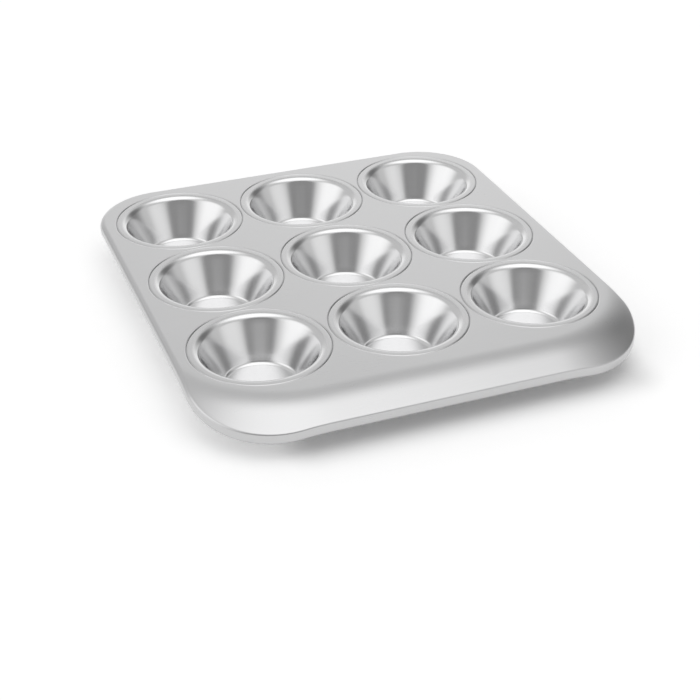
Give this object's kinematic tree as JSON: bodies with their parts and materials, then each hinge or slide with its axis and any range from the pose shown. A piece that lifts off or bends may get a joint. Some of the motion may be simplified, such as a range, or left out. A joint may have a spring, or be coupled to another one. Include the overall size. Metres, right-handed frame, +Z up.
{
  "type": "muffin pan",
  "caption": "Satin metal muffin pan: a flat deck with bright tapered cups locked in a square grid, a wide front lip that curves down, and a narrow wired rim.",
  "frame": {"origin": "on the surface that the pan stands on, under the middle of its outline", "axes": "+X to the pan's right, +Y from the front lip to the back, +Z up out of the cups"},
  "size_m": [0.2684, 0.2926, 0.0266],
  "materials": {
    "deck": "satin aluminised steel sheet",
    "cups": "bright drawn aluminised steel",
    "wire": "dull drawn steel wire"
  },
  "bodies": {
    "root": {"deck": "deck", "rim_wire": "wire", "cup_front_left": "cups", "cup_front_centre": "cups", "cup_front_right": "cups", "cup_middle_left": "cups", "cup_middle_centre": "cups", "cup_middle_right": "cups", "cup_back_left": "cups", "cup_back_centre": "cups", "cup_back_right": "cups"}
  },
  "joints": []
}
